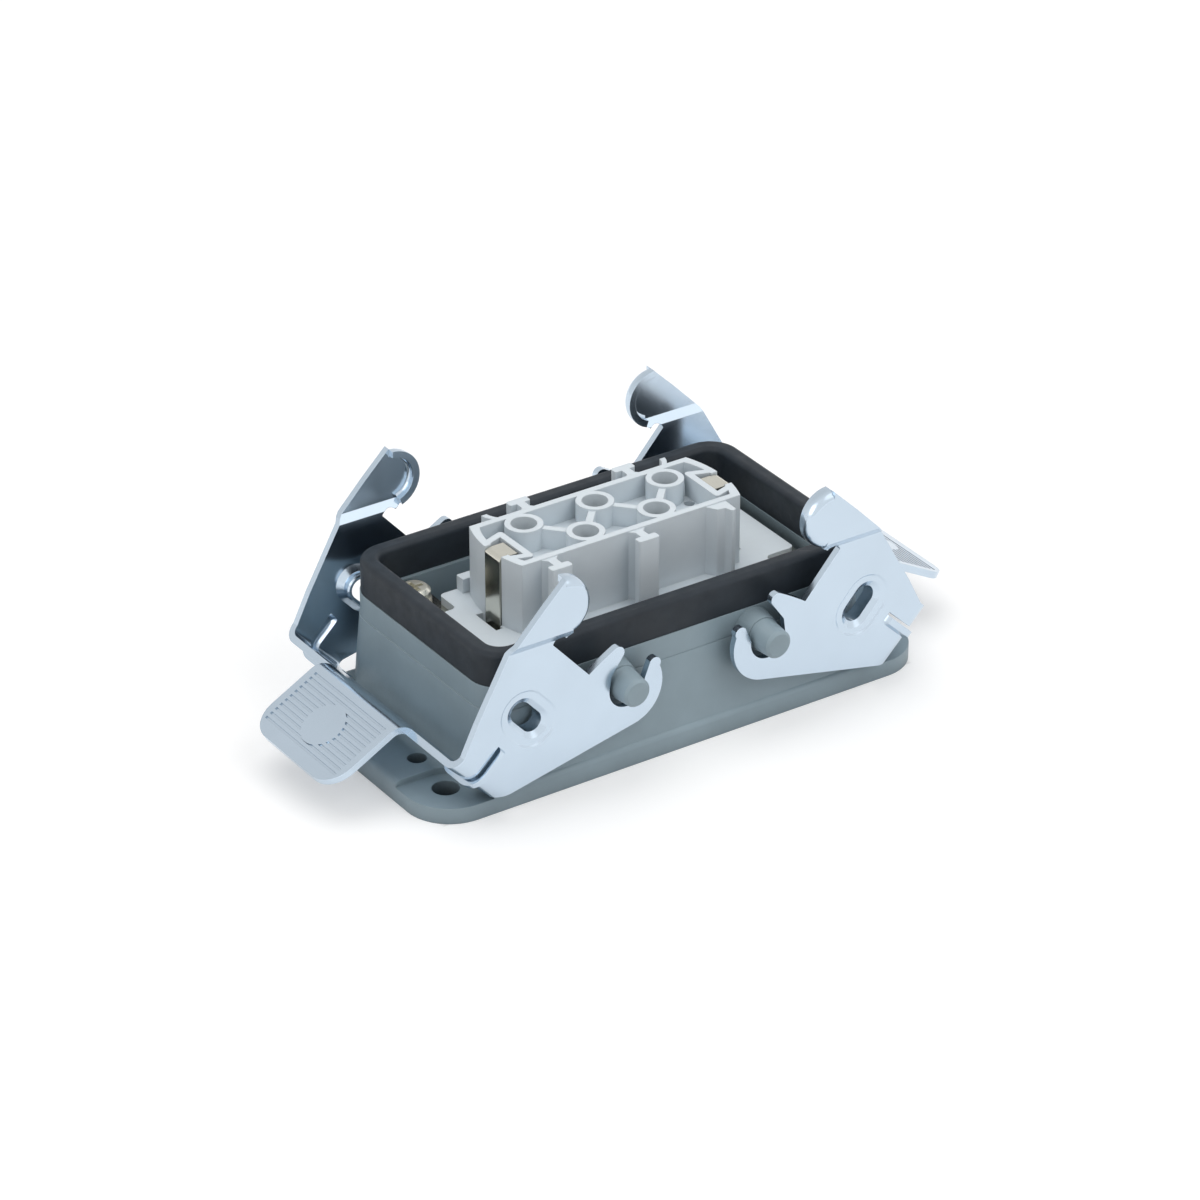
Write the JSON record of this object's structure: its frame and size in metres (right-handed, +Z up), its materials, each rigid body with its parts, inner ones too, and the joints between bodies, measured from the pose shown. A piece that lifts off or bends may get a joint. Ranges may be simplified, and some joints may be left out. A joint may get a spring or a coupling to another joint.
{
  "type": "rectangular connector bulkhead housing with insert",
  "caption": "Rectangular die-cast connector housing for panel mounting, with pressed locking levers, rim seal and a screw-terminal female insert.",
  "frame": {"origin": "middle of the housing's underside, on the panel face", "axes": "X along the housing, Y across it, +Z up out of the panel towards the mating face"},
  "size_m": [0.1214, 0.0576, 0.0402],
  "materials": {
    "housing": "fine matt powder coat on a die casting",
    "rim_seal": "matt moulded rubber",
    "base_seal": "matt moulded rubber",
    "insert_body": "moulded thermoplastic, low sheen",
    "insert_base": "moulded thermoplastic, low sheen",
    "contact": "silver plated copper alloy",
    "terminal_screws": "zinc plated",
    "wire_clamps": "nickel plated",
    "earth_contact": "nickel plated spring sheet",
    "earth_screws": "zinc plated",
    "earth_clamps": "zinc plated",
    "fixing_screws": "zinc plated, pale yellow passivated",
    "lock_washers": "zinc plated",
    "lever": "bright zinc plated pressed sheet"
  },
  "bodies": {
    "base": {"housing": "housing", "rim_seal": "rim_seal", "base_seal": "base_seal", "insert_body": "insert_body", "insert_base": "insert_base", "contact_1": "contact", "contact_2": "contact", "contact_3": "contact", "contact_4": "contact", "contact_5": "contact", "terminal_screws": "terminal_screws", "wire_clamps": "wire_clamps", "earth_contact_left": "earth_contact", "earth_contact_right": "earth_contact", "earth_screws": "earth_screws", "earth_clamps": "earth_clamps", "fixing_screws": "fixing_screws", "lock_washers": "lock_washers"},
    "lever_left": {"lever_left": "lever"},
    "lever_right": {"lever_right": "lever"}
  },
  "joints": [
    {"name": "lever_left_swing", "type": "hinge", "parent": "base", "child": "lever_left", "pos_m": [-0.0136, 0, 0.017], "axis": [0, 1, 0], "range_deg": [0, 44]},
    {"name": "lever_right_swing", "type": "hinge", "parent": "base", "child": "lever_right", "pos_m": [0.0136, 0, 0.017], "axis": [0, -1, 0], "range_deg": [0, 44]}
  ]
}
